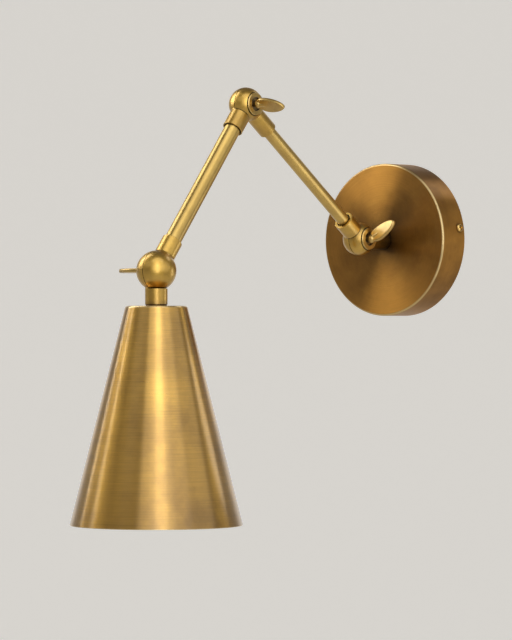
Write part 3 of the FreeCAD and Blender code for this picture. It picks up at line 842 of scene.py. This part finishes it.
@dataclass
class WallCup:
    """Round cup on the wall with its side screws, post, bracket and terminal block."""

    shop: Workshop
    radius: float = 60.5
    depth: float = 27.5
    sheet: float = 1.5
    face_edge: float = 1.6
    wall_edge: float = 0.3
    inner_edge: float = 0.5
    bore: float = 5.1
    steps: int = 256
    screw_count: int = 2
    screw_out: float = 6.5
    screw_turn: float = 8.4
    screw_head: float = 3.3
    screw_rise: float = 2.3
    screw_shank: float = 1.75
    screw_length: float = 8.0
    tip_share: float = 0.7
    screw_steps: int = 40
    thread_pitch: float = 0.8
    thread_depth: float = 0.35
    slot_length: float = 4.6
    slot_width: float = 0.9
    slot_depth: float = 1.2
    # Pan head as shares of its radius and rise, from its top down to its seat.
    crown: tuple[tuple[float, float], ...] = (
        (0.0, 1.0), (0.4, 0.97), (0.68, 0.86), (0.87, 0.68),
        (0.96, 0.46), (1.0, 0.22), (1.0, 0.06), (0.96, 0.0),
    )

    def screw(self) -> bpy.types.Mesh:
        """Turn one pan head screw with its thread, its head's seat at the origin.

        Returns:
            Its mesh.
        """
        rings = [(self.screw_head * share, self.screw_rise * rise) for share, rise in self.crown]
        root = self.screw_shank - self.thread_depth
        rings.append((self.screw_shank, 0.0))
        for turn in range(int(self.screw_length / self.thread_pitch) - 1):
            height = -self.thread_pitch * (turn + 1)
            rings += [(root, height + self.thread_pitch / 2), (self.screw_shank, height)]
        rings += [(root * self.tip_share, -self.screw_length), (0.0, -self.screw_length)]
        return self.shop.lathe("screw", rings, self.screw_steps)

    def screws(self) -> bpy.types.Object:
        """Set the screws in the cup's side.

        Returns:
            Both as one piece.
        """
        values = {
            "Copies": self.screw_count,
            "Ring Radius": self.radius * MM,
            "Head": self.screw_rise * MM,
            "Slot Length": self.slot_length * MM,
            "Slot Width": self.slot_width * MM,
            "Slot Depth": self.slot_depth * MM,
            "Finish": self.shop.palette.get(CONTACT),
        }
        turned = math.radians(self.screw_turn)
        place = stand_on(OUT * self.screw_out * MM, OUT, Vector((math.cos(turned), 0, math.sin(turned))))
        return self.shop.trees.run(self.shop.trees.screws, "cup_screws", self.screw(), values, place)

    def build(self) -> None:
        """Build the cup and dress what is in it."""
        inside = self.depth - self.sheet
        inner = self.radius - self.sheet
        corners = [
            Corner(self.bore, self.depth),
            Corner(self.radius, self.depth, self.face_edge),
            Corner(self.radius, 0.0, self.wall_edge),
            Corner(inner, 0.0, self.wall_edge),
            Corner(inner, inside, self.inner_edge),
            Corner(self.bore, inside),
        ]
        place = stand_on(Vector((0, 0, 0)), OUT, FAR_SIDE)
        cup = self.shop.turn("cup", corners, CUP, place, self.steps)
        self.shop.seat(cup, "base", "canopy")
        self.shop.seat(self.screws(), "base", "canopy_screws")
        self.shop.dress(["wall_post"], POST)
        self.shop.dress(["wall_bracket", "post_washer", "post_nut"], ZINC)
        self.shop.dress(["terminal_screws", "block_screw", "earth_screw"], ZINC)
        self.shop.dress(["terminal_block"], IVORY)


@dataclass
class Arms:
    """Two tubes between the ball joints, with their knuckles and washers."""

    shop: Workshop
    wall_joint: Vector = field(default_factory=lambda: Vector((0, -57.5, 0)))
    lower_arm: float = 169.0
    lower_slope: float = 36.4
    upper_arm: float = 162.5
    upper_slope: float = -51.7
    lower_tube: float = 5.0
    upper_tube: float = 6.35
    tube_wall: float = 1.0
    tube_steps: int = 96
    ball: float = 13.0
    shade_ball: float = 15.0
    socket: float = 1.9
    neck: float = 11.0

    @staticmethod
    def along(slope: float) -> Vector:
        """Give the direction of an arm at a slope above the outward horizontal."""
        return Vector((0, -math.cos(math.radians(slope)), math.sin(math.radians(slope))))

    @property
    def elbow(self) -> Vector:
        """Give the middle of the elbow."""
        return self.wall_joint + self.along(self.lower_slope) * self.lower_arm

    @property
    def shade_joint(self) -> Vector:
        """Give the middle of the shade joint."""
        return self.elbow + self.along(self.upper_slope) * self.upper_arm

    @property
    def shade_top(self) -> Vector:
        """Give the middle of the shade's top, under the ball and the neck with its washer."""
        return self.shade_joint + DOWN * (self.shade_ball + self.neck)

    def tube(
        self, name: str, radius: float, start: Vector, slope: float, ends: tuple[float, float],
    ) -> bpy.types.Object:
        """Draw a tube between two sockets.

        Args:
            name: Piece's name.
            radius: Outer radius.
            start: Pivot that it is measured from.
            slope: Its slope.
            ends: Distances of its two ends from the pivot.

        Returns:
            The piece.
        """
        low, high = ends
        inner = radius - self.tube_wall
        corners = [Corner(inner, low), Corner(inner, high), Corner(radius, high), Corner(radius, low)]
        place = stand_on(start * MM, self.along(slope), FAR_SIDE)
        return self.shop.turn(name, corners, DRAWN, place, self.tube_steps)

    def build(self) -> None:
        """Build the tubes and dress the joints."""
        near = self.ball + self.socket
        lower_ends = (near, self.lower_arm - near)
        lower = self.tube("thin_tube", self.lower_tube, self.wall_joint, self.lower_slope, lower_ends)
        self.shop.seat(lower, "lower_arm", "lower_arm_tube")
        upper_ends = (near, self.upper_arm - self.shade_ball - self.socket)
        upper = self.tube("thick_tube", self.upper_tube, self.elbow, self.upper_slope, upper_ends)
        self.shop.seat(upper, "upper_arm", "upper_arm_tube")
        self.shop.dress(["lower_arm_heel", "elbow_near", "elbow_far"], CAST)
        self.shop.dress(["shade_knuckle", "shade_neck"], CAST)
        for joint in ("wall", "elbow", "shade"):
            self.shop.dress([joint + "_spring_washer"], ZINC)
            self.shop.dress([joint + "_friction_washer"], NYLON)
            self.shop.dress([joint + "_wing_key"], FETTLED)


@dataclass
class ConeShade:
    """Spun cone on its neck, with the lamp holder and bulb inside."""

    shop: Workshop
    top: Vector
    top_radius: float = 23.0
    mouth_radius: float = 64.2
    height: float = 162.6
    sheet: float = 1.2
    top_edge: float = 2.0
    rim_edge: float = 0.4
    # Band up from the mouth painted pale: a painted highlight along the rim.
    rim_highlight: float = 1.6
    bore: float = 5.1
    steps: int = 256

    def build(self) -> None:
        """Build the shade and dress what it holds."""
        flare = (self.mouth_radius - self.top_radius) / self.height
        across = self.sheet * math.sqrt(1 + flare ** 2)
        inner_top = self.top_radius + flare * self.sheet - across
        corners = [
            Corner(self.bore, 0.0),
            Corner(self.top_radius, 0.0, self.top_edge),
            Corner(self.mouth_radius, self.height, self.rim_edge, self.rim_highlight),
            Corner(self.mouth_radius - across, self.height, self.rim_edge),
            Corner(inner_top, self.sheet, self.top_edge),
            Corner(self.bore, self.sheet),
        ]
        place = stand_on(self.top * MM, DOWN, TO_WALL)
        shade = self.shop.turn("cone_shade", corners, SPUN, place, self.steps)
        self.shop.seat(shade, "shade_head", "shade")
        self.shop.dress(["neck_washer"], FIBRE_AND_SHADOW_LINE)
        self.shop.dress(["nipple", "shade_nut"], ZINC)
        self.shop.dress(["lampholder_body"], PHENOLIC)
        self.shop.dress(["lampholder_sleeve", "lampholder_contact", "bulb_cap"], CONTACT)
        self.shop.dress(["bulb_globe"], OPAL)


# Places that the soft boxes face.
LAMP_MIDDLE = Vector((0.0, -0.16, -0.05)).freeze()
CUP_FACE = Vector((0.0, -0.0275, 0.0)).freeze()
THIN_TUBE = Vector((0.0, -0.126, 0.05)).freeze()


@dataclass(frozen=True)
class SoftBox:
    """Soft box, placed by degrees to the right of the camera and above the horizon, seen from the lamp.

    Its distance and its size of width and height are in metres. Its level is the brightness of its
    face, where a white floor is one.
    """

    name: str
    turn: float
    lift: float
    away: float
    size: tuple[float, float]
    level: float
    aim: Vector = LAMP_MIDDLE

    def hang(self) -> None:
        """Make the soft box, hidden from the camera itself."""
        data = bpy.data.lights.new(self.name, "AREA")
        data.shape = "ELLIPSE"
        width, height = self.size
        data.size, data.size_y = width, height
        # A flat face that scatters evenly sends out pi times its area and brightness.
        data.energy = self.level * math.pi * width * height * math.pi / 4
        lamp = bpy.data.objects.new(self.name, data)
        lamp.visible_camera = False
        turned = PHOTO_TURN + math.radians(self.turn)
        raised = math.radians(self.lift)
        flat = math.cos(raised)
        way = Vector((math.sin(turned) * flat, -math.cos(turned) * flat, math.sin(raised)))
        lamp.location = self.aim + way * self.away
        lamp.rotation_euler = way.to_track_quat("Z", "Y").to_euler()
        bpy.context.scene.collection.objects.link(lamp)


# Name, turn, lift, distance, size, level and, where it isn't the lamp's middle, the place it faces.
# The key's boxes give the shade its broad stripe and the two thin ones its lines on the left. The
# washes fill both sides, and bounce and cup_top light the thin tube's underside and the cup's face.
SOFT_BOXES = (
    SoftBox("key_core", 7.0, 15.0, 3.6, (1.1, 4.4), 1.05),
    SoftBox("key_box", 1.0, 17.0, 3.7, (3.3, 4.2), 0.9),
    SoftBox("key_halo", 20.0, 20.0, 3.8, (4.2, 4.0), 0.45),
    SoftBox("right_wash", 57.0, 22.0, 3.4, (3.9, 3.4), 0.55),
    SoftBox("right_back", 124.0, 44.0, 2.6, (1.4, 0.8), 1.3),
    SoftBox("bounce", 80.0, -24.0, 0.25, (0.10, 0.20), 1.3, THIN_TUBE),
    SoftBox("left_wash", -48.0, 36.0, 3.2, (2.4, 1.8), 0.38),
    SoftBox("left_strip", -93.0, 28.0, 2.2, (0.15, 1.7), 3.8),
    SoftBox("left_thin", -117.0, 26.0, 2.2, (0.11, 1.7), 6.0),
    SoftBox("cup_top", -88.0, 34.0, 0.6, (0.25, 0.60), 2.4, CUP_FACE),
    SoftBox("overhead", 12.0, 60.0, 2.6, (2.8, 1.5), 1.2),
)


@dataclass
class Studio:
    """Pale seamless sweep, soft boxes and the camera."""

    eye: Vector = field(default_factory=lambda: Vector((1.8561, -2.3169, -0.0638)))
    sensor: float = 36.0
    focal_px: float = 3705.0
    frame_px: float = 640.0
    sight: float = 60.0
    floor: float = -1.9
    flat: float = 5.0
    sweep: float = 2.5
    wall_top: float = 6.0
    curve_steps: int = 12
    around: int = 96
    backdrop_from: float = 0.75
    backdrop_full: float = 0.90
    low_from: float = 0.6
    low_full: float = -0.6
    room_glow: float = 0.13
    low_glow: float = 0.26
    backdrop_glow: float = 0.58
    world_light: float = 0.35

    def camera(self) -> None:
        """Set the camera at the photograph's viewing angle."""
        data = bpy.data.cameras.new("camera")
        data.sensor_width = self.sensor
        data.lens = self.focal_px * self.sensor / self.frame_px
        data.clip_end = self.sight
        camera = bpy.data.objects.new("camera", data)
        camera.location = self.eye
        camera.rotation_euler = (math.pi / 2, 0.0, PHOTO_TURN)
        bpy.context.scene.collection.objects.link(camera)
        bpy.context.scene.camera = camera

    def glow(self, behind: float, height: float) -> float:
        """Give the paper's own brightness at a place.

        Args:
            behind: How far the place lies behind the lamp, seen from the camera, up to one.
            height: Its height.

        Returns:
            A dim room, paler low down, that rises smoothly to the pale backdrop.
        """
        low = (height - self.low_from) / (self.low_full - self.low_from)
        low = min(1.0, max(0.0, low))
        share = (behind - self.backdrop_from) / (self.backdrop_full - self.backdrop_from)
        share = min(1.0, max(0.0, share))
        room = self.room_glow + (self.low_glow - self.room_glow) * low
        return room + (self.backdrop_glow - room) * share * share * (3 - 2 * share)

    def rings(self) -> list[tuple[float, float]]:
        """Give the outline of the floor that curves up into a wall.

        Returns:
            Radius and height above the floor of each ring, from the middle out and up.
        """
        rings = [(0.0, 0.0), (self.flat / 2, 0.0)]
        for step in range(self.curve_steps + 1):
            angle = math.pi / 2 * step / self.curve_steps
            rings.append((self.flat + self.sweep * math.sin(angle), self.sweep * (1 - math.cos(angle))))
        rings.append((self.flat + self.sweep, self.wall_top))
        return rings

    def sheet(self) -> bpy.types.Mesh:
        """Turn the floor's outline into a sheet that knows its own brightness.

        Returns:
            Its mesh.
        """
        rings = self.rings()
        points, faces, lit = [], [], []
        for radius, height in rings:
            for step in range(self.around):
                angle = 2 * math.pi * step / self.around
                points.append((radius * math.sin(angle), -radius * math.cos(angle), self.floor + height))
                behind = -math.cos(angle - PHOTO_TURN) * min(1.0, radius / self.flat)
                lit.append(self.glow(behind, self.floor + height))
        for ring in range(len(rings) - 1):
            low, high = ring * self.around, (ring + 1) * self.around
            for step in range(self.around):
                after = (step + 1) % self.around
                faces.append((low + step, low + after, high + after, high + step))
        mesh = bpy.data.meshes.new("sweep")
        mesh.from_pydata(points, [], faces)
        mesh.attributes.new("lit", "FLOAT", "POINT").data.foreach_set("value", np.array(lit, np.float32))
        mesh.polygons.foreach_set("use_smooth", [True] * len(faces))
        return mesh

    @staticmethod
    def paper() -> bpy.types.Material:
        """Build matt backdrop paper that shows its brightness to the camera and in metal and glass.

        Returns:
            The material.
        """
        material, tree = start_material("pale_paper")
        glow = add_node(tree, "ShaderNodeAttribute", attribute_name="lit").outputs["Fac"]
        ray = add_node(tree, "ShaderNodeLightPath").outputs
        mirrored = add_node(
            tree, "ShaderNodeMath",
            {0: ray["Is Glossy Ray"], 1: ray["Is Transmission Ray"]}, operation="MAXIMUM",
        ).outputs[0]
        seen = add_node(
            tree, "ShaderNodeMath", {0: ray["Is Camera Ray"], 1: mirrored}, operation="MAXIMUM",
        ).outputs[0]
        shown = add_node(tree, "ShaderNodeMath", {0: glow, 1: seen}, operation="MULTIPLY").outputs[0]
        end_material(tree, {
            "Base Color": linear("#D2CFC9"),
            "Roughness": 0.9,
            "Emission Color": linear("#F4F2EE"),
            "Emission Strength": shown,
        })
        return material

    def stage(self) -> None:
        """Lay out the floor, which curves up all round into a pale wall."""
        mesh = self.sheet()
        mesh.materials.append(self.paper())
        sweep = bpy.data.objects.new("sweep", mesh)
        bpy.context.scene.collection.objects.link(sweep)

    def world(self) -> None:
        """Fill the room with dim even light."""
        world = bpy.data.worlds.new("room")
        world.use_nodes = True
        background = world.node_tree.nodes["Background"]
        background.inputs["Color"].default_value = linear("#B8B2A8")
        background.inputs["Strength"].default_value = self.world_light
        bpy.context.scene.world = world
        bpy.context.scene.view_settings.view_transform = "Standard"

    def build(self) -> None:
        """Build the studio."""
        self.camera()
        self.stage()
        self.world()
        for box in SOFT_BOXES:
            box.hang()


def main() -> None:
    """Build the lamp's sub-assemblies and the studio in order."""
    logging.basicConfig(level=logging.INFO, format="%(message)s")
    shop = Workshop(NodeTrees(), Palette())
    WallCup(shop).build()
    arms = Arms(shop)
    arms.build()
    ConeShade(shop, arms.shade_top).build()
    Studio().build()


if __name__ == "__main__":
    main()
